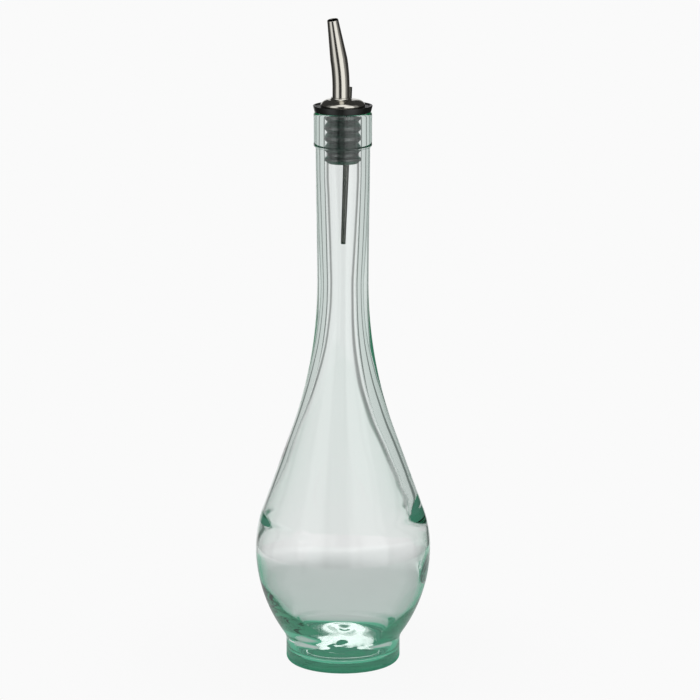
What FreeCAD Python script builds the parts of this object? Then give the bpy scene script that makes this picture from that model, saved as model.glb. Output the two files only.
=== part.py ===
import FreeCAD, Part
import math
import os

# Glass oil bottle with a push-in pourer. Millimetres, +Z up, origin on the bottle's axis
# at the level of the ring that it stands on. A radius is measured from its piece's axis.

# Bottle, outside
bottle_height = 285.6
belly_radius = 44.8
belly_height = 60.3           # the widest line
upper_belly_arc = 58.3        # arc from the widest line up to the shoulder
shoulder_angle = 19.7         # straight shoulder, degrees from vertical
neck_sweep_arc = 223.7        # hollow arc from the shoulder into the neck
neck_radius = 13.05           # at the neck's waist
neck_flare_angle = 0.6        # neck above its waist, degrees from vertical
foot_radius = 29.25
foot_height = 13.9            # where the belly's lower arc would meet the foot
foot_fillet = 9.0
heel_radius = 3.0
rest_ring_width = 2.0
punt_edge_round = 2.0
punt_rise = 7.0

# Bottle, finish: the band at the mouth
finish_step = 0.95            # how far the band stands out from the neck
finish_height = 17.5
finish_top_round = 1.3
finish_lower_round = 0.8
finish_root_fillet = 0.5
mouth_round = 0.8

# Bottle, inside: walls are measured level
bore_radius = 9.2
bore_below_stopper = 2.3
neck_wall = 6.0
sweep_wall = 5.9
shoulder_top_wall = 4.9
shoulder_wall = 4.4
above_ridge_wall = 4.0
ridge_wall = 6.4              # ring where the glass settled and stayed thick
ridge_rise = 16.2             # above the widest line
ridge_fade_up = 11.0
ridge_fade_down = 8.0
below_ridge_wall = 2.3
belly_wall = 1.8
lower_belly_wall = 2.1
lower_belly_drop = 20.0       # below the widest line
heel_fade_wall = 4.3
heel_fade_rise = 12.5         # above foot_height
heel_wall = 6.0
heel_rise = 6.5               # above foot_height
foot_wall = 4.4
foot_wall_top = 12.0
floor_height = 4.6            # lowest line of the inner floor
floor_corner_radius = 4.0
floor_rise = 7.1

# Spout
spout_radius = 4.35
spout_wall = 0.5
spout_tip_radius = 2.8
spout_offset = 1.84           # from the bottle's axis
spout_side = 240.6            # side that it stands on, degrees about +Z from +X
pour_side = 231.0             # side that it leans to
spout_upright = 9.1           # straight stretch above the collar's seat
spout_bend_arc = 65.0
spout_lean = 13.3             # degrees from vertical above the bend
spout_taper_length = 20.8

# Air tube, straight from its open top down into the neck
air_tube_radius = 1.62
air_tube_tip_radius = 1.2
air_tube_wall = 0.35
air_tube_gap = 0.12           # between the tube and the spout at the collar's seat
air_tube_side = 53.0          # direction from the spout to the tube
air_top_rise = 9.2            # above the collar's seat
air_tip_drop = 67.2           # below the mouth
air_tip_offset = 0.36
air_tip_side = 56.3

# Stopper
flange_thickness = 3.3
flange_overhang = 0.3         # top edge beyond the band at the mouth
flange_inset = 0.5            # lower edge inside it
flange_lip_width = 0.9
flange_dish_depth = 0.5
stopper_wall = 1.2
tube_clearance = 0.4          # between the air tube and the stopper's hollow
fin_clearance = 0.03
fin_count = 4
fin_pitch = 5.2
fin_tip_width = 1.8
first_fin_depth = 2.0
plain_length = 1.6            # between the last fin and the end fin
end_fin_slope = 0.9
end_fin_tip_width = 1.1
end_chamfer_height = 1.9
end_chamfer_depth = 2.0

# Collar
collar_radius = 11.2
collar_side_height = 0.5
collar_dome_width = 5.0       # level run of the dome's quarter ellipse
collar_dome_rise = 3.1
collar_lip_width = 0.6
collar_flare_round = 1.1

neck_top_height = bottle_height - finish_height
seat_height = bottle_height + flange_thickness - flange_dish_depth
stopper_depth = first_fin_depth + (fin_count - 0.5) * fin_pitch + plain_length
stopper_depth += end_fin_slope + end_fin_tip_width + end_chamfer_height
vertical = FreeCAD.Vector(0, 0, 1)


def point(radius, height):
    return FreeCAD.Vector(radius, 0, height)


def polar(radius, side, height=0):
    turn = math.radians(side)
    return FreeCAD.Vector(radius * math.cos(turn), radius * math.sin(turn), height)


def line(start, end):
    return Part.LineSegment(start, end).toShape()


def polyline(points):
    return [line(start, end) for start, end in zip(points, points[1:])]


def arc(centre, radius, start_angle, end_angle):
    # Arc in the XZ plane, angles in degrees from +X towards +Z.
    marks = []
    for angle in (start_angle, (start_angle + end_angle) / 2, end_angle):
        turn = math.radians(angle)
        marks.append(centre + point(radius * math.cos(turn), radius * math.sin(turn)))
    return Part.Arc(*marks).toShape()


def first_point(edge):
    return edge.valueAt(edge.FirstParameter)


def last_point(edge):
    return edge.valueAt(edge.LastParameter)


def revolve(edges, foot=FreeCAD.Vector(0, 0, 0)):
    # Turns an outline about the vertical line through foot. A straight edge closes each gap.
    outline = []
    for index, edge in enumerate(edges):
        following = edges[(index + 1) % len(edges)]
        outline.append(edge)
        if last_point(edge).distanceToPoint(first_point(following)) > 1e-6:
            outline.append(line(last_point(edge), first_point(following)))
    face = Part.Face(Part.Wire(Part.__sortEdges__(outline)))
    return face.revolve(FreeCAD.Vector(0, 0, 0), vertical, 360).translated(foot)


class Outline:
    # The outside from the foot to the neck, where each arc is tangent to its neighbours.

    def __init__(self):
        slope = math.radians(shoulder_angle)
        flare = math.radians(neck_flare_angle)
        shoulder_run = belly_radius - neck_radius
        shoulder_run -= (upper_belly_arc + neck_sweep_arc) * (1 - math.cos(slope))
        self.shoulder_foot = belly_height + upper_belly_arc * math.sin(slope)
        self.shoulder_top = self.shoulder_foot + shoulder_run / math.tan(slope)
        self.waist_height = self.shoulder_top + neck_sweep_arc * math.sin(slope)
        self.flare_height = self.waist_height + neck_sweep_arc * math.sin(flare)
        self.flare_radius = neck_radius + neck_sweep_arc * (1 - math.cos(flare))
        self.upper_centre = point(belly_radius - upper_belly_arc, belly_height)
        self.sweep_centre = point(neck_radius + neck_sweep_arc, self.waist_height)
        belly_run = belly_radius - foot_radius
        belly_drop = belly_height - foot_height
        self.lower_arc = (belly_run ** 2 + belly_drop ** 2) / (2 * belly_run)
        self.lower_centre = point(belly_radius - self.lower_arc, belly_height)
        fillet_run = foot_radius + foot_fillet - self.lower_centre.x
        fillet_drop = math.sqrt((self.lower_arc + foot_fillet) ** 2 - fillet_run ** 2)
        self.fillet_centre = point(foot_radius + foot_fillet, belly_height - fillet_drop)
        self.fillet_angle = math.degrees(math.atan2(fillet_drop, fillet_run))

    def radius_at(self, height):
        slope = math.radians(shoulder_angle)
        if height <= belly_height:
            drop = belly_height - height
            return self.lower_centre.x + math.sqrt(self.lower_arc ** 2 - drop ** 2)
        if height <= self.shoulder_foot:
            rise = height - belly_height
            return self.upper_centre.x + math.sqrt(upper_belly_arc ** 2 - rise ** 2)
        if height <= self.shoulder_top:
            start = self.radius_at(self.shoulder_foot)
            return start - (height - self.shoulder_foot) * math.tan(slope)
        if height <= self.flare_height:
            rise = height - self.waist_height
            return self.sweep_centre.x - math.sqrt(neck_sweep_arc ** 2 - rise ** 2)
        flare = math.tan(math.radians(neck_flare_angle))
        return self.flare_radius + (height - self.flare_height) * flare

    def edges(self):
        sweep = (180 + shoulder_angle, 180 - neck_flare_angle)
        return [
            arc(self.fillet_centre, foot_fillet, 180, 180 - self.fillet_angle),
            arc(self.lower_centre, self.lower_arc, -self.fillet_angle, 0),
            arc(self.upper_centre, upper_belly_arc, 0, shoulder_angle),
            arc(self.sweep_centre, neck_sweep_arc, *sweep),
        ]


outline = Outline()
finish_radius = outline.radius_at(neck_top_height) + finish_step


def dome(valley_radius, valley_height, valley_round, rise, inwards):
    # A dome about the axis in a rounded valley: its arc and the valley's, tangent.
    dome_radius = (valley_radius ** 2 + rise ** 2) / (2 * rise) - valley_round
    dome_centre = point(0, valley_height + rise - dome_radius)
    valley_centre = point(valley_radius, valley_height + valley_round)
    lift = valley_centre.z - dome_centre.z
    meeting = math.degrees(math.atan2(lift, valley_radius))
    if inwards:
        return [
            arc(valley_centre, valley_round, 270, 180 + meeting),
            arc(dome_centre, dome_radius, meeting, 90),
        ]
    return [
        arc(dome_centre, dome_radius, 90, meeting),
        arc(valley_centre, valley_round, 180 + meeting, 270),
    ]


def inner_wall():
    # Smooth curve down the inside, from the straight bore to the foot.
    ridge_height = belly_height + ridge_rise
    ridge_top = ridge_height + ridge_fade_up
    ridge_bottom = ridge_height - ridge_fade_down
    walls = [
        (outline.waist_height, neck_wall),
        ((outline.shoulder_top + outline.waist_height) / 2, sweep_wall),
        (outline.shoulder_top, shoulder_top_wall),
        ((ridge_top + outline.shoulder_top) / 2, shoulder_wall),
        (ridge_top, above_ridge_wall),
        (ridge_height, ridge_wall),
        (ridge_bottom, below_ridge_wall),
        (belly_height, belly_wall),
        (belly_height - lower_belly_drop, lower_belly_wall),
        (foot_height + heel_fade_rise, heel_fade_wall),
        (foot_height + heel_rise, heel_wall),
    ]
    points = [point(bore_radius, bottle_height - stopper_depth - bore_below_stopper)]
    for height, wall in walls:
        points.append(point(outline.radius_at(height) - wall, height))
    points.append(point(foot_radius - foot_wall, foot_wall_top))
    curve = Part.BSplineCurve()
    curve.interpolate(Points=points, InitialTangent=vertical * -1, FinalTangent=vertical * -1)
    return curve.toShape()


def make_bottle():
    neck_top_radius = finish_radius - finish_step
    root = point(neck_top_radius + finish_root_fillet, neck_top_height - finish_root_fillet)
    band_foot = point(finish_radius - finish_lower_round, neck_top_height + finish_lower_round)
    band_top = point(finish_radius - finish_top_round, bottle_height - finish_top_round)
    mouth = point(bore_radius + mouth_round, bottle_height - mouth_round)
    heel = point(foot_radius - heel_radius, heel_radius)
    corner = point(foot_radius - foot_wall - floor_corner_radius,
                   floor_height + floor_corner_radius)
    edges = dome(heel.x - rest_ring_width, 0, punt_edge_round, punt_rise, False)
    edges.append(arc(heel, heel_radius, 270, 360))
    edges += outline.edges()
    edges.append(arc(root, finish_root_fillet, 180, 90))
    edges.append(arc(band_foot, finish_lower_round, 270, 360))
    edges.append(arc(band_top, finish_top_round, 0, 90))
    edges.append(arc(mouth, mouth_round, 90, 180))
    edges.append(inner_wall())
    edges.append(arc(corner, floor_corner_radius, 360, 270))
    edges += dome(corner.x, floor_height, floor_corner_radius, floor_rise, True)
    return revolve(edges)


def spout_body(base_radius, tip_radius):
    # Upright cylinder, a bend of the same radius, then a straight taper to the tip.
    foot = polar(spout_offset, spout_side, seat_height)
    lean_towards = polar(1, pour_side)
    lean = math.radians(spout_lean)
    bend_start = foot + vertical * spout_upright
    bend_centre = bend_start + lean_towards * spout_bend_arc
    bend_end = bend_centre - lean_towards * (spout_bend_arc * math.cos(lean))
    bend_end += vertical * (spout_bend_arc * math.sin(lean))
    taper_axis = lean_towards * math.sin(lean) + vertical * math.cos(lean)
    upright = Part.makeCylinder(base_radius, spout_upright, foot, vertical)
    section = Part.Face(Part.Wire(Part.makeCircle(base_radius, bend_start, vertical)))
    bend = section.revolve(bend_centre, vertical.cross(lean_towards), spout_lean)
    taper = Part.makeCone(base_radius, tip_radius, spout_taper_length, bend_end, taper_axis)
    return upright.fuse([bend, taper])


def make_spout():
    inside = spout_body(spout_radius - spout_wall, spout_tip_radius - spout_wall)
    return spout_body(spout_radius, spout_tip_radius).cut(inside)


def air_tube_axis():
    # The tube's top and tip, where the axis passes the seat beside the spout.
    spacing = spout_radius + air_tube_radius + air_tube_gap
    at_seat = polar(spout_offset, spout_side, seat_height) + polar(spacing, air_tube_side)
    tip = polar(air_tip_offset, air_tip_side, bottle_height - air_tip_drop)
    slant = (at_seat - tip) * (1 / (at_seat.z - tip.z))
    return at_seat + slant * air_top_rise, at_seat, tip


def air_tube_body(wall):
    top, at_seat, tip = air_tube_axis()
    run = tip - top
    stopper_end = bottle_height - stopper_depth
    straight_length = run.Length * (top.z - stopper_end) / (top.z - tip.z)
    taper_start = top + run * (straight_length / run.Length)
    upper_radius = air_tube_radius - wall
    tip_radius = air_tube_tip_radius - wall
    straight = Part.makeCylinder(upper_radius, straight_length, top, run)
    taper = Part.makeCone(upper_radius, tip_radius, run.Length - straight_length,
                          taper_start, run)
    return straight.fuse(taper)


def make_air_tube():
    return air_tube_body(0).cut(air_tube_body(air_tube_wall))


def make_stopper():
    # Hollow rubber plug: the air tube runs down inside it, clear of its wall.
    at_seat = air_tube_axis()[1]
    hollow_radius = math.hypot(at_seat.x, at_seat.y) + air_tube_radius + tube_clearance
    body_radius = hollow_radius + stopper_wall
    fin_radius = bore_radius - fin_clearance
    end = bottle_height - stopper_depth
    end_fin_top = end + end_chamfer_height + end_fin_tip_width
    points = [
        point(hollow_radius, end),
        point(fin_radius - end_chamfer_depth, end),
        point(fin_radius, end + end_chamfer_height),
        point(fin_radius, end_fin_top),
        point(body_radius, end_fin_top + end_fin_slope),
    ]
    for index in reversed(range(fin_count)):
        fin_height = bottle_height - first_fin_depth - index * fin_pitch
        points.append(point(body_radius, fin_height - fin_pitch / 2))
        points.append(point(fin_radius, fin_height - fin_tip_width / 2))
        if index > 0:
            points.append(point(fin_radius, fin_height + fin_tip_width / 2))
    rim_height = bottle_height + flange_thickness
    rim_radius = finish_radius + flange_overhang
    lip_radius = rim_radius - flange_lip_width
    points += [
        point(fin_radius, bottle_height),
        point(finish_radius - flange_inset, bottle_height),
        point(rim_radius, rim_height),
        point(lip_radius, rim_height),
        point(lip_radius - flange_dish_depth, seat_height),
        point(hollow_radius, seat_height),
    ]
    return revolve(polyline(points))


def make_collar():
    # Low steel dome in the stopper's dish, with a flared lip round the spout.
    dome_foot = point(collar_radius, seat_height + collar_side_height)
    dome_centre = dome_foot - point(collar_dome_width, 0)
    crown_height = dome_foot.z + collar_dome_rise
    crown = point(dome_centre.x, crown_height)
    cap_edges = polyline([point(0, seat_height), point(collar_radius, seat_height)])
    quarter = Part.ArcOfEllipse(Part.Ellipse(dome_foot, crown, dome_centre), 0, math.pi / 2)
    cap_edges.append(quarter.toShape())
    cap_edges += polyline([crown, point(0, crown_height)])
    lip_radius = spout_radius + collar_lip_width
    flare = point(lip_radius + collar_flare_round, crown_height + collar_flare_round)
    lip_edges = polyline([point(0, seat_height), point(flare.x, seat_height)])
    lip_edges.append(arc(flare, collar_flare_round, 270, 180))
    lip_edges += polyline([point(lip_radius, flare.z), point(0, flare.z)])
    cap = revolve(cap_edges).fuse(revolve(lip_edges, polar(spout_offset, spout_side)))
    return cap.cut([spout_body(spout_radius, spout_tip_radius), air_tube_body(0)])


parts = {
    "bottle": make_bottle(),
    "stopper": make_stopper(),
    "collar": make_collar(),
    "spout": make_spout(),
    "air_tube": make_air_tube(),
}

os.makedirs("parts", exist_ok=True)
for name, shape in parts.items():
    print(name, len(shape.Solids), "solid, valid", shape.isValid(), round(shape.Volume), "mm3")
    shape.exportStep("parts/" + name + ".step")
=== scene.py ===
import math

import bpy
import numpy as np
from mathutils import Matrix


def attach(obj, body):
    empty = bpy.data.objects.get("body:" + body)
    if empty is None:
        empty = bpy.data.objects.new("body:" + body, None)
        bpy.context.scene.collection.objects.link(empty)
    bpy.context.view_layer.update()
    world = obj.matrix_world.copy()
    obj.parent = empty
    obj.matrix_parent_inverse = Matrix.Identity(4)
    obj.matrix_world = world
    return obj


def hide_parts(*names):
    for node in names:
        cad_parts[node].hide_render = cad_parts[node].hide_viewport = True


# Glass oil bottle with a push-in steel pourer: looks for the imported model.
# Sizes are in millimetres until a piece is made. Heights are above the table,
# sides are degrees about +Z from +X, and the bottle's axis is the Z axis.

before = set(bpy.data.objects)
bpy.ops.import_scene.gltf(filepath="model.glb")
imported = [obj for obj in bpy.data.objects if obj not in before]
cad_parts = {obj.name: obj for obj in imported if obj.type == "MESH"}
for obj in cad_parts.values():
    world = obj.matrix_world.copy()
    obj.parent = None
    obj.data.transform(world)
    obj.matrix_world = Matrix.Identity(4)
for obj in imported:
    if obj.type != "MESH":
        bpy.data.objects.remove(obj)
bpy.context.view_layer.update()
millimetre = 0.001
samePoint = 1e-6      # points nearer than this many millimetres are one
print("frame loaded:", ", ".join(sorted(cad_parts)))


# An sRGB hex colour as linear light: low values over 12.92, the rest by the 2.4 power.
def linearColour(hexText):
    values = np.array([int(hexText[i:i + 2], 16) for i in (1, 3, 5)]) / 255
    linear = np.where(values <= 0.04045, values / 12.92, ((values + 0.055) / 1.055) ** 2.4)
    return tuple(float(value) for value in linear) + (1.0,)


# Adds a node, sets its properties and sockets, and links its inputs to other sockets.
def addNode(tree, kind, settings=None, links=None):
    node = tree.nodes.new(kind)
    for name, value in (settings or {}).items():
        if isinstance(name, str) and hasattr(node, name):
            setattr(node, name, value)
        else:
            node.inputs[name].default_value = value
    for name, socket in (links or {}).items():
        tree.links.new(socket, node.inputs[name])
    return node


# An empty node material and its tree.
def newMaterial(name):
    material = bpy.data.materials.new(name)
    material.use_nodes = True
    material.node_tree.nodes.clear()
    return material, material.node_tree


# Makes a mesh from a grid of points: rows along the profile, columns round the piece.
# Neighbouring points make a four-sided face. A row of one repeated point is a pole,
# closed with a fan of triangles. With closedRows the last row joins the first.
def makePiece(name, grid, material, node, closedRows=False):
    rows, columns = grid.shape[:2]
    points = grid.reshape(-1, 3)
    row = np.arange(rows if closedRows else rows - 1)[:, None]
    column = np.arange(columns)[None, :]
    following = (column + 1) % columns
    above = (row + 1) % rows
    faces = np.stack([row * columns + column, row * columns + following,
                      above * columns + following, above * columns + column], -1)
    faces = faces.reshape(-1, 4)
    # At a pole every point of the row becomes the row's first point.
    spread = np.ptp(grid, axis=1).max(axis=1)
    target = np.arange(rows * columns)
    for pole in np.flatnonzero(spread < samePoint):
        target[pole * columns:(pole + 1) * columns] = pole * columns
    faces = target[faces]
    kept, faces = np.unique(faces, return_inverse=True)
    faces = faces.reshape(-1, 4)
    points = points[kept]
    repeats = faces == np.roll(faces, -1, axis=1)
    corners = faces[~repeats]
    perFace = 4 - repeats.sum(axis=1)
    mesh = bpy.data.meshes.new(name)
    mesh.vertices.add(len(points))
    mesh.vertices.foreach_set("co", (points * millimetre).astype(np.float32).ravel())
    mesh.loops.add(len(corners))
    mesh.loops.foreach_set("vertex_index", corners.astype(np.int32))
    mesh.polygons.add(len(faces))
    starts = np.concatenate([[0], np.cumsum(perFace)[:-1]])
    mesh.polygons.foreach_set("loop_start", starts.astype(np.int32))
    mesh.polygons.foreach_set("use_smooth", np.ones(len(faces), dtype=bool))
    mesh.update(calc_edges=True)
    mesh.validate()
    piece = bpy.data.objects.new(name, mesh)
    bpy.context.scene.collection.objects.link(piece)
    mesh.materials.append(material)
    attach(piece, "root")
    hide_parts(node)
    print(name, len(mesh.vertices), "points", len(mesh.polygons), "faces")
    return piece


# Points along an arc: its centre plus the radius times (cosine, sine) of an even sweep.
def arcRun(centre, radius, fromAngle, toAngle, count):
    angle = np.radians(np.linspace(fromAngle, toAngle, count))
    return np.stack([centre[0] + radius * np.cos(angle),
                     centre[1] + radius * np.sin(angle)], 1)


# Points along a line: its start plus even shares of the way to its end.
def lineRun(start, end, count):
    return np.linspace(start, end, count)


# Runs end to end as one profile, without the points that repeat where two runs meet.
def joinRuns(*runs):
    profile = np.concatenate(runs)
    step = np.linalg.norm(np.diff(profile, axis=0), axis=1)
    return profile[np.concatenate([[True], step > samePoint])]


# A dome over a rounded valley: two tangent arcs. The dome's radius comes from its rise.
def domeRun(valleyRadius, valleyHeight, valleyRound, rise, count):
    domeRadius = (valleyRadius ** 2 + rise ** 2) / (2 * rise) - valleyRound
    domeCentre = (0, valleyHeight + rise - domeRadius)
    valleyCentre = (valleyRadius, valleyHeight + valleyRound)
    meeting = math.degrees(math.atan2(valleyCentre[1] - domeCentre[1], valleyRadius))
    run = joinRuns(arcRun(domeCentre, domeRadius, 90, meeting, count),
                   arcRun(valleyCentre, valleyRound, 180 + meeting, 270, 10))
    run[0, 0] = 0
    return run


# Corners cut and rounded: each is a short parabola between points set back from it. A cut
# takes less than half of the shorter run beside it, so that two cuts never meet.
def roundCorners(points, setBack, count):
    mostOfRun = 0.45
    points = np.asarray(points, dtype=float)
    before = np.roll(points, 1, axis=0) - points
    after = np.roll(points, -1, axis=0) - points
    before[0] = 0
    after[-1] = 0
    lengthBefore = np.linalg.norm(before, axis=1, keepdims=True)
    lengthAfter = np.linalg.norm(after, axis=1, keepdims=True)
    shorter = np.minimum(np.where(lengthBefore > 0, lengthBefore, np.inf),
                         np.where(lengthAfter > 0, lengthAfter, np.inf))
    back = np.minimum(setBack, mostOfRun * shorter)
    start = points + before / np.maximum(lengthBefore, samePoint) * back
    end = points + after / np.maximum(lengthAfter, samePoint) * back
    share = np.linspace(0, 1, count)[None, :, None]
    curve = ((1 - share) ** 2 * start[:, None] + 2 * share * (1 - share) * points[:, None]
             + share ** 2 * end[:, None])
    return joinRuns(curve.reshape(-1, 2))


# A profile of (radius, height) turned about an upright axis, on an even set of sides.
def turned(profile, segments, centre=(0, 0)):
    side = np.arange(segments) * 2 * np.pi / segments
    radius, height = profile[:, :1], profile[:, 1:]
    flat = np.ones((1, segments))
    return np.stack([centre[0] + radius * np.cos(side), centre[1] + radius * np.sin(side),
                     height * flat], -1)


# Rises smoothly from 0 to 1 as value goes from low to high.
def smoothStep(value, low, high):
    share = np.clip((value - low) / (high - low), 0, 1)
    return share * share * (3 - 2 * share)


# The outside, in tangent arcs from the foot up, then the inside, which is uneven.
bottleValues = {
    "segments": 168,
    "height": 285.6,
    "bellyRadius": 44.8,
    "bellyHeight": 60.3,
    "upperBellyArc": 58.3,
    "shoulderAngle": 19.7,
    "neckSweepArc": 223.7,
    "neckRadius": 13.05,
    "neckFlareAngle": 0.6,
    "footRadius": 29.25,
    "footHeight": 13.9,
    "footFillet": 9.0,
    "heelRadius": 3.0,
    "restRingWidth": 2.0,
    "puntEdgeRound": 2.0,
    "puntRise": 7.0,
    "finishStep": 0.95,
    "finishHeight": 17.5,
    "finishTopRound": 1.3,
    "finishLowerRound": 0.8,
    "finishRootFillet": 0.5,
    "mouthRound": 0.8,
    "boreRadius": 9.2,
    "boreEnd": 257.6,
    "boreFade": 16.0,         # the neck's wall eases into the true bore over this height
    "innerFootRadius": 24.85,
    "innerFootHeight": 12.0,
    "innerFootFade": 5.0,
    "wallRows": 230,
    "floorHeight": 4.6,
    "floorCornerRadius": 4.0,
    "floorRise": 8.8,
    "nubDepth": 0.7,          # a gathering mark under the middle of the base
    "nubRadius": 2.6,
    "swirlDepth": 0.14,       # waves left in the floor as it cooled
    "swirlTurn": 0.85,        # radians of wave for each millimetre outwards
    "swirlRise": (1, 8),      # radii over which the waves grow, then die away
    "swirlFall": (24, 20),
    # Level wall thickness by height, and how much thicker it is towards +X.
    "wallHeights": (12, 16.2, 20.5, 25.8, 31.1, 36.5, 41.8, 60.3, 70, 76.5, 80, 86.5, 92,
                    97, 104.5, 115, 125, 135, 145, 166, 188, 200, 220, 241, 257.6),
    "walls": (4.7, 4.9, 4.8, 3.4, 2.3, 1.9, 1.6, 1.5, 1.6, 2.2, 2.9, 3.7, 4.1,
              4.3, 4.6, 4.6, 5.0, 5.3, 5.7, 6.1, 5.95, 5.9, 5.3, 4.7, 4.45),
    "leanings": (0, -0.2, -1.2, -0.9, -0.5, -0.3, 0, 0, 0, 0.4, 1.0, 1.6, 1.5,
                 1.2, 1.15, 1.4, 1.6, 1.4, 1.25, 0.7, 0.3, 0.25, 0.1, 0, 0),
    "stationBlur": 2.0,       # the stations are averaged over this much up and down
    "ridgeHeight": 77.2,      # ring where the glass settled and stayed thick
    "ridgeTilt": 3.0,         # the ring is this much higher towards +X
    "ridgeTiltReach": 22.0,
    "ridgeWall": (2.9, 1.7),  # this and the two fades: towards +X and towards -X
    "ridgeFadeUp": (10.0, 5.0),
    "ridgeFadeDown": (9.0, 18.0),
    "ridgeBlunt": (0.7, 0.5),
    "ridgeLeast": 0.05,       # what is left of the ridge at the front and back
    "dripHeight": 47.5,       # a drip of thick glass on the +X side
    "dripWall": 2.8,
    "dripFadeUp": 11.0,
    "dripFadeDown": 4.0,
    "dripBlunt": (0.5, 0.4),
    "dripTurn": 0.24,         # radians to each side
}


# The outside as three profiles, under the base, up the side and over the finish. Each arc
# starts where the one before ends: its centre lies a radius from that point, square to the
# slope there.
def bottleOutline(v):
    slope = math.radians(v["shoulderAngle"])
    flare = math.radians(v["neckFlareAngle"])
    upperArc, sweepArc = v["upperBellyArc"], v["neckSweepArc"]
    shoulderRun = v["bellyRadius"] - v["neckRadius"]
    shoulderRun -= (upperArc + sweepArc) * (1 - math.cos(slope))
    shoulderFoot = v["bellyHeight"] + upperArc * math.sin(slope)
    shoulderTop = shoulderFoot + shoulderRun / math.tan(slope)
    waistHeight = shoulderTop + sweepArc * math.sin(slope)
    flareHeight = waistHeight + sweepArc * math.sin(flare)
    flareRadius = v["neckRadius"] + sweepArc * (1 - math.cos(flare))
    neckTopHeight = v["height"] - v["finishHeight"]
    neckTopRadius = flareRadius + (neckTopHeight - flareHeight) * math.tan(flare)
    bellyRun = v["bellyRadius"] - v["footRadius"]
    bellyDrop = v["bellyHeight"] - v["footHeight"]
    lowerArc = (bellyRun ** 2 + bellyDrop ** 2) / (2 * bellyRun)
    lowerCentre = (v["bellyRadius"] - lowerArc, v["bellyHeight"])
    filletRun = v["footRadius"] + v["footFillet"] - lowerCentre[0]
    filletDrop = math.sqrt((lowerArc + v["footFillet"]) ** 2 - filletRun ** 2)
    filletCentre = (v["footRadius"] + v["footFillet"], v["bellyHeight"] - filletDrop)
    filletAngle = math.degrees(math.atan2(filletDrop, filletRun))
    finishRadius = neckTopRadius + v["finishStep"]
    heelCentre = (v["footRadius"] - v["heelRadius"], v["heelRadius"])
    upperCentre = (v["bellyRadius"] - upperArc, v["bellyHeight"])
    sweepCentre = (v["neckRadius"] + sweepArc, waistHeight)
    punt = domeRun(heelCentre[0] - v["restRingWidth"], 0, v["puntEdgeRound"], v["puntRise"], 26)
    side = joinRuns(
        arcRun(heelCentre, v["heelRadius"], 270, 360, 14),
        arcRun(filletCentre, v["footFillet"], 180, 180 - filletAngle, 16),
        arcRun(lowerCentre, lowerArc, -filletAngle, 0, 44),
        arcRun(upperCentre, upperArc, 0, v["shoulderAngle"], 26),
        arcRun(sweepCentre, sweepArc, 180 + v["shoulderAngle"], 180 - v["neckFlareAngle"], 80),
        lineRun((flareRadius, flareHeight),
                (neckTopRadius, neckTopHeight - v["finishRootFillet"]), 16))
    finish = joinRuns(
        arcRun((neckTopRadius + v["finishRootFillet"], neckTopHeight - v["finishRootFillet"]),
               v["finishRootFillet"], 180, 90, 6),
        arcRun((finishRadius - v["finishLowerRound"], neckTopHeight + v["finishLowerRound"]),
               v["finishLowerRound"], 270, 360, 8),
        lineRun((finishRadius, neckTopHeight + v["finishLowerRound"]),
                (finishRadius, v["height"] - v["finishTopRound"]), 4),
        arcRun((finishRadius - v["finishTopRound"], v["height"] - v["finishTopRound"]),
               v["finishTopRound"], 0, 90, 10),
        arcRun((v["boreRadius"] + v["mouthRound"], v["height"] - v["mouthRound"]),
               v["mouthRound"], 90, 180, 8))
    return punt, side, finish


# Distance from a height, blunt close to it: the root of its square plus a little, less a
# little.
def bluntDistance(distance, blunt):
    return np.sqrt(distance ** 2 + blunt[0]) - blunt[1]


# Level wall thickness at each height and side: stations joined by straight lines and
# averaged up and down, plus the leaning times the cosine of the side. Near the ridge the
# stations tilt with it. The ridge and the drip rise to a blunt point, as a power of what is
# left of their fade. The ridge dies away from +X and -X by the cosine's fourth power, and
# the drip by a bell curve.
def wallThickness(v, height, side):
    cosine = np.cos(side)[None, :]
    tiltShare = np.exp(-((height - v["ridgeHeight"]) / v["ridgeTiltReach"]) ** 2)[:, None]
    tilt = v["ridgeTilt"] * tiltShare * cosine
    offsets = np.linspace(-v["stationBlur"], v["stationBlur"], 9)
    level = 0
    leaning = 0
    for offset in offsets:
        station = height[:, None] - tilt + offset
        level = level + np.interp(station, v["wallHeights"], v["walls"]) / len(offsets)
        leaning = leaning + np.interp(station, v["wallHeights"], v["leanings"]) / len(offsets)
    ring = height[:, None] - v["ridgeHeight"] - tilt
    right = (1 + cosine) / 2
    wall, fadeUp, fadeDown = [v[name][0] * right + v[name][1] * (1 - right)
                              for name in ("ridgeWall", "ridgeFadeUp", "ridgeFadeDown")]
    away = bluntDistance(ring, v["ridgeBlunt"])
    swell = np.clip(1 - away / np.where(ring > 0, fadeUp, fadeDown), 0, 1) ** 2
    strength = wall * (v["ridgeLeast"] + (1 - v["ridgeLeast"]) * np.abs(cosine) ** 4)
    turn = (side[None, :] + np.pi) % (2 * np.pi) - np.pi
    drop = height[:, None] - v["dripHeight"]
    away = bluntDistance(drop, v["dripBlunt"])
    drip = np.clip(1 - away / np.where(drop > 0, v["dripFadeUp"], v["dripFadeDown"]), 0, 1) ** 1.5
    drip = drip * np.exp(-(turn / v["dripTurn"]) ** 2)
    return level + leaning * cosine + strength * swell + v["dripWall"] * drip


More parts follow.
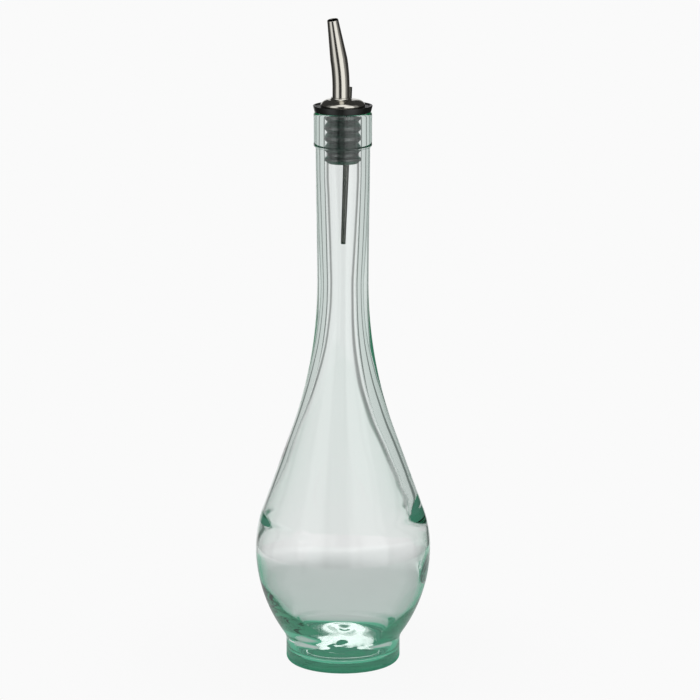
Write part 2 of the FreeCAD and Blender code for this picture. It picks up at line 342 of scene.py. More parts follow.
# The whole glass as one closed surface: up the outside, over the mouth and down inside.
# Inside, the radius is the outside's less the wall. Near both ends it eases into the true
# bore and foot. The floor is a dome with sine waves that wander with the side.
def makeBottle(v, material):
    punt, outside, finish = bottleOutline(v)
    # The nub under the base is a bell curve.
    punt[:, 1] -= v["nubDepth"] * np.exp(-(punt[:, 0] / v["nubRadius"]) ** 2)
    segments = v["segments"]
    side = np.arange(segments) * 2 * np.pi / segments
    shell = turned(joinRuns(punt, outside, finish), segments)
    # The true bore, a millimetre clear of the rows above and below it.
    bore = turned(lineRun((v["boreRadius"], v["height"] - v["mouthRound"] - 1),
                          (v["boreRadius"], v["boreEnd"] + 1), 8), segments)
    height = np.linspace(v["boreEnd"], v["innerFootHeight"], v["wallRows"])
    outer = np.interp(height, outside[:, 1], outside[:, 0])[:, None]
    radius = outer - wallThickness(v, height, side)
    footShare = smoothStep(height, v["innerFootHeight"] + v["innerFootFade"],
                           v["innerFootHeight"])[:, None]
    radius += (v["innerFootRadius"] - radius) * footShare
    boreShare = smoothStep(height, v["boreEnd"] - v["boreFade"], v["boreEnd"])[:, None]
    radius += (v["boreRadius"] - radius) * boreShare
    wall = np.stack([radius * np.cos(side), radius * np.sin(side),
                     height[:, None] * np.ones(segments)], -1)
    corner = (v["innerFootRadius"] - v["floorCornerRadius"],
              v["floorHeight"] + v["floorCornerRadius"])
    valley = domeRun(corner[0], v["floorHeight"], v["floorCornerRadius"], v["floorRise"], 40)
    inside = joinRuns(arcRun(corner, v["floorCornerRadius"], 360, 270, 14), valley[::-1])
    floor = turned(inside[1:], segments)
    reach = inside[1:, :1]
    wander = 1.1 * np.sin(side + 0.4) + 0.5 * np.cos(3 * side)
    swirl = np.sin(reach * v["swirlTurn"] + wander)
    swirl = swirl * smoothStep(reach, *v["swirlRise"]) * smoothStep(reach, *v["swirlFall"])
    floor[..., 2] += v["swirlDepth"] * swirl
    grid = np.concatenate([shell, bore, wall, floor])
    return makePiece("glassBottle", grid, material, "bottle")


# The spout and the air tube beside it. Both stand in the seat on the stopper.
pourerValues = {
    "seatHeight": 288.4,
    "spoutRadius": 4.35,
    "spoutWall": 0.5,
    "spoutTipRadius": 2.8,
    "spoutOffset": 1.84,
    "spoutSide": 240.6,
    "pourSide": 231.0,
    "uprightLength": 9.1,
    "bendArc": 65.0,
    "lean": 13.3,
    "taperLength": 20.8,
    "airTubeRadius": 1.62,
    "airTubeTipRadius": 1.2,
    "airTubeWall": 0.35,
    "airTubeGap": 0.12,
    "airTubeSide": 53.0,
    "airTopRise": 9.2,
    "airTipHeight": 218.4,
    "airTipOffset": 0.36,
    "airTipSide": 56.3,
    "airTaperTop": 259.9,     # the air tube tapers below this height
    "segments": 72,
    "airTubeSegments": 40,
}


# The point at a radius and side: the radius times the side's cosine and sine.
def polar(radius, degrees, height=0.0):
    turn = math.radians(degrees)
    return np.array([radius * math.cos(turn), radius * math.sin(turn), height])


# Circles square to a path: each is the path's point plus radius times the cosine and
# sine of the side along two directions, one level and fixed, one square to the path.
def tubeAlong(path, tangent, level, radius, segments):
    side = np.arange(segments) * 2 * np.pi / segments
    upwards = np.cross(tangent, level)
    ring = (level[None, None] * np.cos(side)[None, :, None]
            + upwards[:, None] * np.sin(side)[None, :, None])
    return path[:, None] + radius[:, None, None] * ring


# The spout's path: straight up, a bend towards the pouring side, then a straight taper.
def spoutPath(v, along):
    foot = polar(v["spoutOffset"], v["spoutSide"], v["seatHeight"])
    towards = polar(1, v["pourSide"])
    upright = np.array([0, 0, 1.0])
    bendLength = v["bendArc"] * math.radians(v["lean"])
    angle = np.clip((along - v["uprightLength"]) / v["bendArc"], 0, math.radians(v["lean"]))
    tangent = np.sin(angle)[:, None] * towards + np.cos(angle)[:, None] * upright
    straight = np.clip(along, None, v["uprightLength"])
    beyond = np.clip(along - v["uprightLength"] - bendLength, 0, None)
    path = foot + straight[:, None] * upright
    path = path + v["bendArc"] * ((1 - np.cos(angle))[:, None] * towards
                                  + np.sin(angle)[:, None] * upright)
    return path + beyond[:, None] * tangent, tangent, towards


# Outside and inside of a pipe, as (distance along, radius), joined over a rolled rim: half
# a circle as wide as the wall.
def pipeProfile(length, radiusAt, wall, count):
    along = np.linspace(0, length - wall / 2, count)
    rim = np.radians(np.linspace(0, 180, 9))[1:-1]
    centre = radiusAt(length) - wall / 2
    outer = np.stack([along, radiusAt(along)], 1)
    lip = np.stack([length - wall / 2 + wall / 2 * np.sin(rim),
                    centre + wall / 2 * np.cos(rim)], 1)
    inner = np.stack([along, radiusAt(along) - wall], 1)[::-1]
    return np.concatenate([outer, lip, inner])


# The pipe's profile carried along the spout's path, with the last row joined to the first.
def makeSpout(v, material):
    bendLength = v["bendArc"] * math.radians(v["lean"])
    taperFrom = v["uprightLength"] + bendLength
    length = taperFrom + v["taperLength"]

    def radiusAt(along):
        # Full size below the taper, then evenly smaller to the tip.
        share = np.clip((along - taperFrom) / v["taperLength"], 0, 1)
        return v["spoutRadius"] + (v["spoutTipRadius"] - v["spoutRadius"]) * share

    profile = pipeProfile(length, radiusAt, v["spoutWall"], 90)
    path, tangent, towards = spoutPath(v, profile[:, 0])
    level = np.cross([0, 0, 1.0], towards)
    grid = tubeAlong(path, tangent, level, profile[:, 1], v["segments"])
    return makePiece("pourerSpout", grid[:, ::-1], material, "spout", closedRows=True)


# A straight pipe from its tip in the neck to its top behind the spout. It leans so that it
# passes beside the spout at the seat, and it is slimmer at the tip.
def makeAirTube(v, material):
    spacing = v["spoutRadius"] + v["airTubeRadius"] + v["airTubeGap"]
    atSeat = polar(v["spoutOffset"], v["spoutSide"], v["seatHeight"])
    atSeat = atSeat + polar(spacing, v["airTubeSide"])
    tip = polar(v["airTipOffset"], v["airTipSide"], v["airTipHeight"])
    direction = (atSeat - tip) / (atSeat[2] - tip[2])
    top = atSeat + direction * v["airTopRise"]
    length = np.linalg.norm(top - tip)
    direction = direction / np.linalg.norm(direction)
    taperEnd = length * (v["airTaperTop"] - tip[2]) / (top[2] - tip[2])

    def radiusAt(along):
        # Evenly larger from the tip to the taper's end, then full size.
        share = np.clip(along / taperEnd, 0, 1)
        return v["airTubeTipRadius"] + (v["airTubeRadius"] - v["airTubeTipRadius"]) * share

    profile = pipeProfile(length, radiusAt, v["airTubeWall"], 60)
    path = tip + profile[:, :1] * direction
    level = np.cross(direction, [0, 1.0, 0])
    level /= np.linalg.norm(level)
    tangent = np.tile(direction, (len(path), 1))
    grid = tubeAlong(path, tangent, level, profile[:, 1], v["airTubeSegments"])
    return makePiece("pourerAirTube", grid[:, ::-1], material, "air_tube",
                     closedRows=True)


# The rubber plug: a hollow body with fins, and a dished flange on the mouth.
stopperValues = {
    "hollowRadius": 6.4,
    "bodyRadius": 7.6,
    "finRadius": 9.17,
    "end": 259.9,
    "chamferHeight": 1.9,
    "chamferDepth": 2.0,
    "endFinTip": 1.1,
    "endFinSlope": 0.9,
    "firstFin": 283.6,
    "finCount": 4,
    "finPitch": 5.2,
    "finTip": 1.8,
    "mouth": 285.6,
    "flangeThickness": 3.3,
    "finishRadius": 14.72,
    "overhang": 0.3,
    "inset": 0.5,
    "lipWidth": 0.9,
    "dish": 0.5,
    "cornerRound": 0.34,
    "cornerPoints": 6,
    "seamSide": 266.0,
    "seamDepth": 0.12,
    "seamWidth": 2.2,         # degrees to each side
    "segments": 144,
}


# The plug's profile turned, with a fine mould seam down its outside: a narrow bell curve
# taken off the radius.
def makeStopper(v, material):
    fin = v["finRadius"]
    finTop = v["end"] + v["chamferHeight"] + v["endFinTip"]
    points = [
        (v["hollowRadius"], v["end"]),
        (fin - v["chamferDepth"], v["end"]),
        (fin, v["end"] + v["chamferHeight"]),
        (fin, finTop),
        (v["bodyRadius"], finTop + v["endFinSlope"]),
    ]
    for index in reversed(range(v["finCount"])):
        middle = v["firstFin"] - index * v["finPitch"]
        points.append((v["bodyRadius"], middle - v["finPitch"] / 2))
        points.append((fin, middle - v["finTip"] / 2))
        if index > 0:
            points.append((fin, middle + v["finTip"] / 2))
    rimHeight = v["mouth"] + v["flangeThickness"]
    rimRadius = v["finishRadius"] + v["overhang"]
    points += [
        (fin, v["mouth"]),
        (v["finishRadius"] - v["inset"], v["mouth"]),
        (rimRadius, rimHeight),
        (rimRadius - v["lipWidth"], rimHeight),
        (rimRadius - v["lipWidth"] - v["dish"], rimHeight - v["dish"]),
        (v["hollowRadius"], rimHeight - v["dish"]),
    ]
    # The end points are repeated so that their corners are rounded too, then dropped.
    closed = [points[-1]] + points + [points[0]]
    count = v["cornerPoints"]
    profile = roundCorners(closed, v["cornerRound"], count)[count:-count]
    grid = turned(profile, v["segments"])
    side = np.arange(v["segments"]) * 360 / v["segments"]
    seam = v["seamDepth"] * np.exp(-((side - v["seamSide"]) / v["seamWidth"]) ** 2)[None, :]
    radius = np.hypot(grid[:, :, 0], grid[:, :, 1])
    # The hollow has no seam.
    seam = seam * smoothStep(radius, v["hollowRadius"] + 0.4, v["bodyRadius"] - 0.1)
    grid[:, :, :2] *= (1 - seam / radius)[:, :, None]
    return makePiece("pourerStopper", grid, material, "stopper", closedRows=True)


# The pressed cap over the flange, with a turned-up lip round the spout.
collarValues = {
    "radius": 11.2,
    "sideHeight": 0.5,
    "domeWidth": 5.0,
    "domeRise": 3.1,
    "lipWidth": 0.6,
    "lipRound": 0.25,
    "flareRound": 1.1,
    "crownFlat": 1.9,         # inside the edge by this much, rings begin to move across
    "segments": 96,
}


# Rings that start centred on the bottle and end centred on the spout: each ring's centre
# moves across as the profile crosses the crown.
def makeCollar(v, pourer, material):
    seat = pourer["seatHeight"]
    inner = pourer["spoutRadius"]
    domeFoot = seat + v["sideHeight"]
    shoulder = v["radius"] - v["domeWidth"]
    crown = domeFoot + v["domeRise"]
    lip = inner + v["lipWidth"]
    lipRound = v["lipRound"]
    flare = (lip + v["flareRound"], crown + v["flareRound"])
    turn = np.radians(np.linspace(0, 90, 30))
    dome = np.stack([shoulder + v["domeWidth"] * np.cos(turn),
                     domeFoot + v["domeRise"] * np.sin(turn)], 1)
    profile = joinRuns(
        lineRun((inner, seat), (v["radius"], seat), 4),
        lineRun((v["radius"], seat), (v["radius"], domeFoot), 3),
        dome,
        arcRun(flare, v["flareRound"], 270, 180, 12),
        arcRun((lip - lipRound, flare[1] - lipRound), lipRound, 0, 90, 6),
        lineRun((lip - lipRound, flare[1]), (inner, flare[1]), 3))
    moved = smoothStep(profile[:, 0], v["radius"] - v["crownFlat"], flare[0])
    moved[:3] = np.linspace(1, 0.2, 3)    # the underside moves back evenly
    centre = polar(pourer["spoutOffset"], pourer["spoutSide"])
    grid = turned(profile, v["segments"])
    grid += moved[:, None, None] * centre
    return makePiece("pourerCollar", grid, material, "collar", closedRows=True)


glassFinish = {
    "ior": 1.52,
    "tint": "#6eebcc",
    "tintDensity": 6.2,       # for each metre of glass
}


# Soda-lime glass, moulded and fire-polished, faintly green from iron: clear across the
# body, green only where light runs a long way inside it, as in the foot and the edges.
def greenGlass(v):
    material, tree = newMaterial("greenSodaGlass")
    shader = addNode(tree, "ShaderNodeBsdfPrincipled", {
        "Base Color": linearColour("#ffffff"), "Roughness": 0.0, "IOR": v["ior"],
        "Transmission Weight": 1.0})
    depth = addNode(tree, "ShaderNodeVolumeAbsorption", {
        "Color": linearColour(v["tint"]), "Density": v["tintDensity"]})
    addNode(tree, "ShaderNodeOutputMaterial", {}, {
        "Surface": shader.outputs["BSDF"], "Volume": depth.outputs["Volume"]})
    return material


spoutFinish = {
    "colour": "#cfccc3",
    "roughness": (0.0975, 0.169),
    "markWidth": 0.25,
    "markLength": 8.3333,
    "markDepth": 0.02,
    "markStrength": 0.03,
}
# The air tube's dark colour is painted shade: steel itself is much lighter.
tubeFinishPaintedDark = {**spoutFinish, "colour": "#55554f", "roughness": (0.225, 0.39),
              "markStrength": 0.2}


# Stainless steel, drawn into tube: warm grey. Polished, as the spout and collar are, it
# mirrors softly. On the air tube it is given a much darker colour than steel has, painted
# shade, and it is rougher, so it is dark and dull. Draw marks run upright and break up its
# highlights. They are drawn coarser than real ones, which are too fine to show.
def drawnSteel(v, name):
    material, tree = newMaterial(name)
    place = addNode(tree, "ShaderNodeTexCoord")
    across = 1 / (v["markWidth"] * millimetre)
    stretch = addNode(tree, "ShaderNodeMapping",
                      {"Scale": (across, across, 1 / (v["markLength"] * millimetre))},
                      {"Vector": place.outputs["Object"]})
    marks = addNode(tree, "ShaderNodeTexNoise", {"Scale": 1.0, "Detail": 3.0},
                    {"Vector": stretch.outputs["Vector"]})
    spread = addNode(tree, "ShaderNodeMapRange", {
        "From Min": 0.3, "From Max": 0.7,
        "To Min": v["roughness"][0], "To Max": v["roughness"][1]},
        {"Value": marks.outputs["Fac"]})
    bump = addNode(tree, "ShaderNodeBump", {
        "Strength": v["markStrength"], "Distance": v["markDepth"] * millimetre},
        {"Height": marks.outputs["Fac"]})
    shader = addNode(tree, "ShaderNodeBsdfPrincipled", {
        "Base Color": linearColour(v["colour"]), "Metallic": 1.0},
        {"Roughness": spread.outputs["Result"], "Normal": bump.outputs["Normal"]})
    addNode(tree, "ShaderNodeOutputMaterial", {}, {"Surface": shader.outputs["BSDF"]})
    return material


rubberFinish = {
    "colour": "#121412",
    "roughness": (0.24, 0.36),
    "grain": 0.4,
    "grainDepth": 0.04,
    "grainStrength": 0.25,
    "cloud": 5.5556,          # size of the patches that are more or less shiny
    "oiled": 2.0,             # index of refraction down in the bore, and on the flange
    "dry": 1.45,
}


# Moulded rubber: near black and satin, with a fine grain that softens its highlights. The
# grain is drawn coarser than the real one, which is too fine to show. Down in the bore the
# rubber is wet with oil, so it shines there more than on the flange. The change takes the
# last millimetre below the mouth.
def blackRubber(v, mouth):
    material, tree = newMaterial("blackMouldedRubber")
    place = addNode(tree, "ShaderNodeTexCoord")
    grain = addNode(tree, "ShaderNodeTexNoise", {
        "Scale": 1 / (v["grain"] * millimetre), "Detail": 2.0},
        {"Vector": place.outputs["Object"]})
    cloud = addNode(tree, "ShaderNodeTexNoise", {
        "Scale": 1 / (v["cloud"] * millimetre), "Detail": 3.0},
        {"Vector": place.outputs["Object"]})
    spread = addNode(tree, "ShaderNodeMapRange", {
        "To Min": v["roughness"][0], "To Max": v["roughness"][1]},
        {"Value": cloud.outputs["Fac"]})
    bump = addNode(tree, "ShaderNodeBump", {
        "Strength": v["grainStrength"], "Distance": v["grainDepth"] * millimetre},
        {"Height": grain.outputs["Fac"]})
    parts = addNode(tree, "ShaderNodeSeparateXYZ", {}, {0: place.outputs["Object"]})
    wet = addNode(tree, "ShaderNodeMapRange", {
        "From Min": (mouth - 1) * millimetre, "From Max": mouth * millimetre,
        "To Min": v["oiled"], "To Max": v["dry"]},
        {"Value": parts.outputs["Z"]})
    shader = addNode(tree, "ShaderNodeBsdfPrincipled", {
        "Base Color": linearColour(v["colour"])},
        {"IOR": wet.outputs["Result"], "Roughness": spread.outputs["Result"],
         "Normal": bump.outputs["Normal"]})
    addNode(tree, "ShaderNodeOutputMaterial", {}, {"Surface": shader.outputs["BSDF"]})
    return material


glass = greenGlass(glassFinish)
spoutSteel = drawnSteel(spoutFinish, "polishedStainlessSteel")
tubeSteelPaintedDark = drawnSteel(tubeFinishPaintedDark, "drawnStainlessSteelPaintedDark")
rubber = blackRubber(rubberFinish, stopperValues["mouth"])
print("materials made:", ", ".join(material.name for material in bpy.data.materials))

makeBottle(bottleValues, glass)
makeSpout(pourerValues, spoutSteel)
makeAirTube(pourerValues, tubeSteelPaintedDark)
makeStopper(stopperValues, rubber)
makeCollar(collarValues, pourerValues, spoutSteel)


# The table, the room and its lamps, in metres. A ray's rise is the height of its direction:
# -1 is straight down and 1 is straight up.
studioValues = {
    "white": "#fafafa",
    "tableRadius": 0.26,
    "tableSegments": 128,
    "tableColour": "#d9d9d7",
    "tableShade": {"near": 0.04, "far": 0.15, "lift": 0.975},   # less lift, more shadow
    # painted shadow under the foot, then a painted pool of green light beside it, then grey
    "tableThroughGlassPaintedShadowAndLight": (    # radius in metres and colour, from under the foot outwards
        (0.0, "#2f5f4e"), (0.027, "#3f7a65"), (0.032, "#5fae90"), (0.038, "#a3b3ad"),
        (0.060, "#bac0be"), (0.165, "#b8bcbb"), (0.235, "#eeefef")),
    "tableMirrored": ("#54a98a", "#3f8468"),   # after one mirroring and after more
    "backdrop": 0.87,
    "overhead": {"from": 0.3, "to": 0.8, "left": 0.6},   # the backdrop darkens with the rise
    "ambient": 0.35,
    "gapCount": 8.0,          # narrow gaps in the backdrop, evenly round
    "gapWidth": -0.6,         # cosine where a gap ends: nearer -1 is narrower
    "gapLevel": 0.3,
    "alongWall": "#9fffdd",   # what is left of white after a long way inside the glass
    "mirroredOnce": 0.85,
    "mirroredOften": 0.23,
    "mirroredFar": 1.7,       # off the base, out through the far wall and upwards
    "mirroredFarLow": 0.8,    # the same but level or downwards
    "farRise": (-0.02, 0.1),  # it goes from one to the other over this rise
    "mirroredSteep": 0.24,    # off the far wall, and upwards or steeply down
    "steepUp": (-0.03, 0.07),
    "steepDown": (-0.55, -0.45),
    "greenAfter": (0.95, 2.0),        # mirrorings inside over which white turns green
    "dimRoom": 0.05,
    "panelEdge": 0.12,
    "panels": (
        {"side": 221, "full": 7, "fade": 29, "low": -0.7, "high": 0.7, "brightness": 1.1},
        {"side": 200, "full": 10, "fade": 32, "low": -0.7, "high": 0.7, "brightness": 0.2},
        {"side": 306, "full": 18, "fade": 33, "low": -0.7, "high": 0.7, "brightness": 1.35},
        {"side": 330, "full": 15, "fade": 42, "low": -0.7, "high": 0.7, "brightness": 0.35},
        {"side": 270, "full": 20, "fade": 75, "low": 0.6, "high": 1.3, "brightness": 1.3},
        {"side": 96, "full": 8, "fade": 28, "low": -0.7, "high": 0.2, "brightness": 1.0},
    ),
    "lampBrightness": 2.4,
    "lampDistance": 1.25,
    "lampHeight": 0.45,
    "lampAim": 0.16,          # height on the bottle's axis that the lamps face
    "lampTall": 1.5,
    "lamps": (
        {"name": "leftSoftbox", "side": 223.0, "width": 0.8},
        {"name": "rightSoftbox", "side": 303.0, "width": 0.95},
    ),
}


# Shares from the light path, each 0 or 1: a camera ray; one that came through the glass or
# off a polished face and touched nothing matt; one mirrored at least once; one that has
# been in the glass; and of those, the ones mirrored at least once and at least twice. Also
# the counts of passes through a glass face and of mirrorings.
def rayKinds(tree):
    path = addNode(tree, "ShaderNodeLightPath")
    more = {}
    for name, output, limit in (
            ("matt", "Diffuse Depth", 0.5), ("mirrored", "Glossy Depth", 0.5),
            ("mirroredTwice", "Glossy Depth", 1.5), ("inGlass", "Transmission Depth", 0.5)):
        node = addNode(tree, "ShaderNodeMath", {"operation": "GREATER_THAN", 1: limit},
                       {0: path.outputs[output]})
        more[name] = node.outputs[0]
    both = addNode(tree, "ShaderNodeMath", {"operation": "MAXIMUM"},
                   {0: path.outputs["Is Glossy Ray"], 1: path.outputs["Is Transmission Ray"]})
    clean = addNode(tree, "ShaderNodeMath", {"operation": "SUBTRACT", "use_clamp": True},
                    {0: both.outputs[0], 1: more["matt"]})
    inside = addNode(tree, "ShaderNodeMath", {"operation": "MULTIPLY"},
                     {0: more["mirrored"], 1: more["inGlass"]})
    often = addNode(tree, "ShaderNodeMath", {"operation": "MULTIPLY"},
                    {0: more["mirroredTwice"], 1: more["inGlass"]})
    return {"camera": path.outputs["Is Camera Ray"], "seen": clean.outputs[0],
            "mirrored": more["mirrored"], "inGlass": more["inGlass"],
            "mirroredInside": inside.outputs[0], "often": often.outputs[0],
            "passes": path.outputs["Transmission Depth"],
            "mirrorings": path.outputs["Glossy Depth"]}


# A pale round table: a fan of triangles round its middle. The camera sees it lifted to the
# white of the backdrop, with the bottle's shadow kept. Seen through the glass it has a painted
# shadow, dark green, under the foot, and a painted pool of green light beside it where the
# tinted light falls, then grey, and it fades into the backdrop. A ray mirrored inside the
# glass sees it green all over.
def makeTable(v):
    material, tree = newMaterial("paleTable")
    kinds = rayKinds(tree)
    place = addNode(tree, "ShaderNodeTexCoord")
    reach = addNode(tree, "ShaderNodeVectorMath", {"operation": "LENGTH"},
                    {0: place.outputs["Object"]})
    shade = v["tableShade"]
    rim = addNode(tree, "ShaderNodeMapRange", {
        "From Min": shade["near"], "From Max": shade["far"], "To Min": shade["lift"],
        "To Max": 1.0, "interpolation_type": "SMOOTHSTEP"}, {"Value": reach.outputs["Value"]})
    straight = addNode(tree, "ShaderNodeMath", {"operation": "MULTIPLY"},
                       {0: kinds["camera"], 1: rim.outputs["Result"]})
    along = addNode(tree, "ShaderNodeMath", {"operation": "DIVIDE", 1: v["tableRadius"]},
                    {0: reach.outputs["Value"]})
    # The ramp paints the shadow under the foot and the pool of green light beside it, for rays
    # through the glass.
    rings = addNode(tree, "ShaderNodeValToRGB", {}, {"Fac": along.outputs[0]})
    stops = rings.color_ramp.elements
    while len(stops) < len(v["tableThroughGlassPaintedShadowAndLight"]):
        stops.new(1.0)
    for stop, (radius, hexText) in zip(stops, v["tableThroughGlassPaintedShadowAndLight"]):
        stop.position = radius / v["tableRadius"]
        stop.color = linearColour(hexText)
    cloth = addNode(tree, "ShaderNodeBsdfDiffuse", {"Color": linearColour(v["tableColour"])})
    lifted = addNode(tree, "ShaderNodeEmission", {"Color": linearColour(v["white"])})
    near = addNode(tree, "ShaderNodeMixShader", {},
                   {0: straight.outputs[0], 1: cloth.outputs[0], 2: lifted.outputs[0]})
    seenColour = addNode(tree, "ShaderNodeMix", {
        "data_type": "RGBA", 7: linearColour(v["tableMirrored"][0])},
        {0: kinds["mirroredInside"], 6: rings.outputs["Color"]})
    seenColour = addNode(tree, "ShaderNodeMix", {
        "data_type": "RGBA", 7: linearColour(v["tableMirrored"][1])},
        {0: kinds["often"], 6: seenColour.outputs[2]})
    glow = addNode(tree, "ShaderNodeEmission", {}, {"Color": seenColour.outputs[2]})
    mixed = addNode(tree, "ShaderNodeMixShader", {},
                    {0: kinds["seen"], 1: near.outputs[0], 2: glow.outputs[0]})
    addNode(tree, "ShaderNodeOutputMaterial", {}, {"Surface": mixed.outputs[0]})
    count = v["tableSegments"]
    side = np.arange(count) * 2 * np.pi / count
    rims = np.stack([v["tableRadius"] * np.cos(side), v["tableRadius"] * np.sin(side),
                     np.zeros(count)], 1)
    corner = np.arange(count)
    faces = np.stack([corner * 0, corner + 1, (corner + 1) % count + 1], 1)
    mesh = bpy.data.meshes.new("table")
    mesh.from_pydata([(0, 0, 0)] + rims.tolist(), [], faces.tolist())
    mesh.materials.append(material)
    table = bpy.data.objects.new("table", mesh)
    bpy.context.scene.collection.objects.link(table)


# The room: white to the camera. Through the glass it is a bright backdrop, broken by narrow
# gaps and darker overhead. A ray mirrored once inside the glass sees the same, weaker. One
# mirrored more often sees it weaker still and green, with no gaps. A ray off the outside of
# a piece, or off a face behind one wall of glass, sees a dim room with soft panels: each
# panel is a smooth step of the direction's cosine with the panel's side, times a low and a
# high fade. Matt surfaces get an even pale light.
def makeRoom(v):
    world = bpy.data.worlds.new("studio")
    bpy.context.scene.world = world
    world.use_nodes = True
    tree = world.node_tree
    tree.nodes.clear()
    kinds = rayKinds(tree)
    direction = addNode(tree, "ShaderNodeTexCoord").outputs["Generated"]
    parts = addNode(tree, "ShaderNodeSeparateXYZ", {}, {0: direction}).outputs
    times = {"operation": "MULTIPLY"}
    larger = {"operation": "MAXIMUM"}
    number = {"data_type": "FLOAT"}
    smooth = {"interpolation_type": "SMOOTHSTEP"}

    # The backdrop: a cosine wave round the room cut to narrow gaps, then darker overhead.
    turn = addNode(tree, "ShaderNodeMath", {"operation": "ARCTAN2"},
                   {0: parts["Y"], 1: parts["X"]})
    wave = addNode(tree, "ShaderNodeMath", {**times, 1: v["gapCount"]}, {0: turn.outputs[0]})
    wave = addNode(tree, "ShaderNodeMath", {"operation": "COSINE"}, {0: wave.outputs[0]})
    gaps = addNode(tree, "ShaderNodeMapRange", {
        **smooth, "From Min": -1.0, "From Max": v["gapWidth"],
        "To Min": v["gapLevel"] * v["backdrop"], "To Max": v["backdrop"]},
        {"Value": wave.outputs[0]})
    gaps = addNode(tree, "ShaderNodeMix", {**number, 3: v["backdrop"]},
                   {0: kinds["often"], 2: gaps.outputs[0]})
    overhead = v["overhead"]
    darker = addNode(tree, "ShaderNodeMapRange", {
        **smooth, "From Min": overhead["from"], "From Max": overhead["to"],
        "To Min": 1.0, "To Max": overhead["left"]}, {"Value": parts["Z"]})
    backdrop = addNode(tree, "ShaderNodeMath", times, {0: gaps.outputs[0], 1: darker.outputs[0]})

    # What is left of it after one mirroring inside, and after more.
    left = addNode(tree, "ShaderNodeMix", {**number, 2: 1.0, 3: v["mirroredOnce"]},
                   {0: kinds["mirrored"]})
    left = addNode(tree, "ShaderNodeMix", {**number, 3: v["mirroredOften"]},
                   {0: kinds["often"], 2: left.outputs[0]})
    backdrop = addNode(tree, "ShaderNodeMath", times, {0: backdrop.outputs[0], 1: left.outputs[0]})

    # Six passes or more: in through the near wall, off the base and out by the far wall.
    once = addNode(tree, "ShaderNodeMath", {"operation": "SUBTRACT"},
                   {0: kinds["mirrored"], 1: kinds["often"]})
    farOut = addNode(tree, "ShaderNodeMath", {"operation": "GREATER_THAN", 1: 5.5},
                     {0: kinds["passes"]})
    farOut = addNode(tree, "ShaderNodeMath", times, {0: farOut.outputs[0], 1: once.outputs[0]})
    far = addNode(tree, "ShaderNodeMapRange", {
        **smooth, "From Min": v["farRise"][0], "From Max": v["farRise"][1],
        "To Min": v["mirroredFarLow"], "To Max": v["mirroredFar"]}, {"Value": parts["Z"]})
    backdrop = addNode(tree, "ShaderNodeMix", number,
                       {0: farOut.outputs[0], 2: backdrop.outputs[0], 3: far.outputs[0]})

    # The dim room, and each panel where it is brighter than what is there already.
    level = addNode(tree, "ShaderNodeVectorMath", {**times, 1: (1, 1, 0)}, {0: direction})
    level = addNode(tree, "ShaderNodeVectorMath", {"operation": "NORMALIZE"},
                    {0: level.outputs["Vector"]})
    already = {}
    for panel in v["panels"]:
        facing = addNode(tree, "ShaderNodeVectorMath", {
            "operation": "DOT_PRODUCT", 1: tuple(polar(1, panel["side"]))},
            {0: level.outputs["Vector"]})
        light = addNode(tree, "ShaderNodeMapRange", {
            **smooth, "From Min": math.cos(math.radians(panel["fade"])),
            "From Max": math.cos(math.radians(panel["full"])), "To Max": panel["brightness"]},
            {"Value": facing.outputs["Value"]})
        for rise, under, above in ((panel["low"], 0.0, 1.0), (panel["high"], 1.0, 0.0)):
            fade = addNode(tree, "ShaderNodeMapRange", {
                **smooth, "From Min": rise - v["panelEdge"], "From Max": rise + v["panelEdge"],
                "To Min": under, "To Max": above}, {"Value": parts["Z"]})
            light = addNode(tree, "ShaderNodeMath", times,
                            {0: light.outputs[0], 1: fade.outputs[0]})
        room = addNode(tree, "ShaderNodeMath", {**larger, 0: v["dimRoom"]},
                       {**already, 1: light.outputs[0]})
        already = {0: room.outputs[0]}

    # Four passes: through the near wall, off a face behind it and back again.
    backOut = addNode(tree, "ShaderNodeMath", {"operation": "COMPARE", 1: 4.0, 2: 0.5},
                      {0: kinds["passes"]})
    backOut = addNode(tree, "ShaderNodeMath", times, {0: backOut.outputs[0], 1: once.outputs[0]})
    upwards = addNode(tree, "ShaderNodeMapRange", {
        **smooth, "From Min": v["steepUp"][0], "From Max": v["steepUp"][1]},
        {"Value": parts["Z"]})
    downwards = addNode(tree, "ShaderNodeMapRange", {
        **smooth, "From Min": v["steepDown"][0], "From Max": v["steepDown"][1],
        "To Min": 1.0, "To Max": 0.0}, {"Value": parts["Z"]})
    steep = addNode(tree, "ShaderNodeMath", larger,
                    {0: upwards.outputs[0], 1: downwards.outputs[0]})
    steep = addNode(tree, "ShaderNodeMath", times, {0: backOut.outputs[0], 1: steep.outputs[0]})
    room = addNode(tree, "ShaderNodeMix", {**number, 3: v["mirroredSteep"]},
                   {0: steep.outputs[0], 2: room.outputs[0]})

    # The room for those and for rays off an outside, the backdrop for the rest in glass, an
    # even light for matt surfaces, and white for the camera.
    outside = addNode(tree, "ShaderNodeMath", {"operation": "SUBTRACT", 0: 1.0},
                      {1: kinds["inGlass"]})
    outside = addNode(tree, "ShaderNodeMath", times,
                      {0: outside.outputs[0], 1: kinds["mirrored"]})
    roomShare = addNode(tree, "ShaderNodeMath", larger,
                        {0: outside.outputs[0], 1: backOut.outputs[0]})
    strength = addNode(tree, "ShaderNodeMix", number,
                       {0: roomShare.outputs[0], 2: backdrop.outputs[0], 3: room.outputs[0]})
    strength = addNode(tree, "ShaderNodeMix", {**number, 2: v["ambient"]},
                       {0: kinds["seen"], 3: strength.outputs[0]})
    strength = addNode(tree, "ShaderNodeMix", {**number, 3: 1.0},
                       {0: kinds["camera"], 2: strength.outputs[0]})

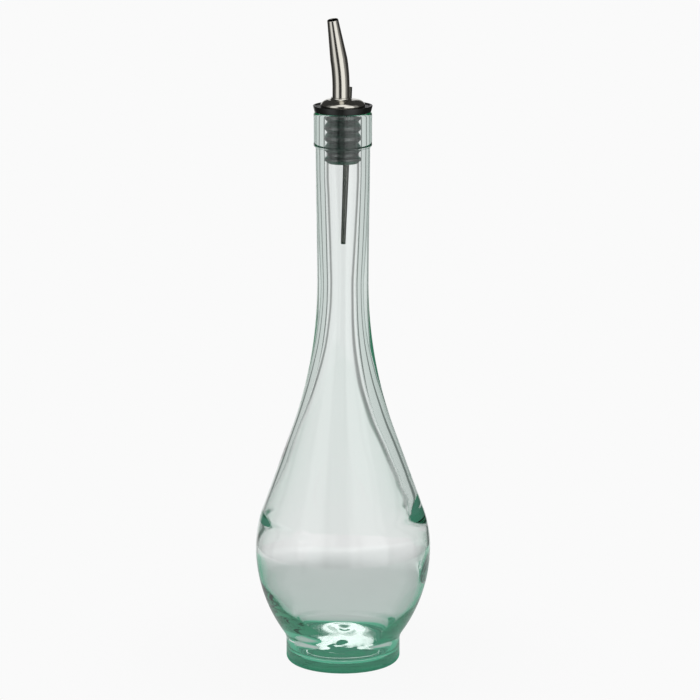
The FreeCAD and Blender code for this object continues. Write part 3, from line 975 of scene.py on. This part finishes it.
    # Green for rays mirrored inside and for the steep ones.
    green = addNode(tree, "ShaderNodeMapRange", {
        "From Min": v["greenAfter"][0], "From Max": v["greenAfter"][1]},
        {"Value": kinds["mirrorings"]})
    green = addNode(tree, "ShaderNodeMath", times, {0: kinds["inGlass"], 1: green.outputs[0]})
    green = addNode(tree, "ShaderNodeMath", larger, {0: green.outputs[0], 1: steep.outputs[0]})
    tint = addNode(tree, "ShaderNodeMix", {
        "data_type": "RGBA", 6: linearColour(v["white"]), 7: linearColour(v["alongWall"])},
        {0: green.outputs[0]})
    sky = addNode(tree, "ShaderNodeBackground", {},
                  {"Color": tint.outputs[2], "Strength": strength.outputs[0]})
    addNode(tree, "ShaderNodeOutputWorld", {}, {"Surface": sky.outputs[0]})


# A softbox: an area lamp facing the bottle. Its power is brightness times pi times its area.
# It lights matt surfaces only: mirrors and glass see the room's panels instead.
def addSoftbox(v, softbox):
    name, width = softbox["name"], softbox["width"]
    lamp = bpy.data.lights.new(name, "AREA")
    lamp.shape = "RECTANGLE"
    lamp.size = width
    lamp.size_y = v["lampTall"]
    lamp.energy = v["lampBrightness"] * math.pi * width * v["lampTall"]
    holder = bpy.data.objects.new(name, lamp)
    holder.location = tuple(polar(v["lampDistance"], softbox["side"], v["lampHeight"]))
    aim = np.array([0, 0, v["lampAim"]]) - np.array(holder.location)
    pitch = math.atan2(math.hypot(aim[0], aim[1]), -aim[2])
    holder.rotation_euler = (pitch, 0, math.atan2(aim[1], aim[0]) - math.pi / 2)
    holder.visible_camera = False
    holder.visible_glossy = False
    holder.visible_transmission = False
    bpy.context.scene.collection.objects.link(holder)


makeTable(studioValues)
makeRoom(studioValues)
for softbox in studioValues["lamps"]:
    addSoftbox(studioValues, softbox)
print("table, room and", len(studioValues["lamps"]), "softboxes set")

cameraValues = {
    "focalLength": 189.4,
    "sensorWidth": 36,
    "place": (0.0036, -1.830, 0.560),
    "downTilt": 12.23,
    "nearest": 0.05,
}
lens = bpy.data.cameras.new("camera")
lens.lens = cameraValues["focalLength"]
lens.sensor_width = cameraValues["sensorWidth"]
lens.clip_start = cameraValues["nearest"]
camera = bpy.data.objects.new("camera", lens)
camera.location = cameraValues["place"]
camera.rotation_euler = (math.radians(90 - cameraValues["downTilt"]), 0, 0)
bpy.context.scene.collection.objects.link(camera)
bpy.context.scene.camera = camera

scene = bpy.context.scene
scene.view_settings.view_transform = "Standard"
scene.cycles.max_bounces = 40     # light goes round inside thick glass many times
scene.cycles.transmission_bounces = 32
scene.cycles.glossy_bounces = 32
scene.cycles.diffuse_bounces = 3
print("camera set")
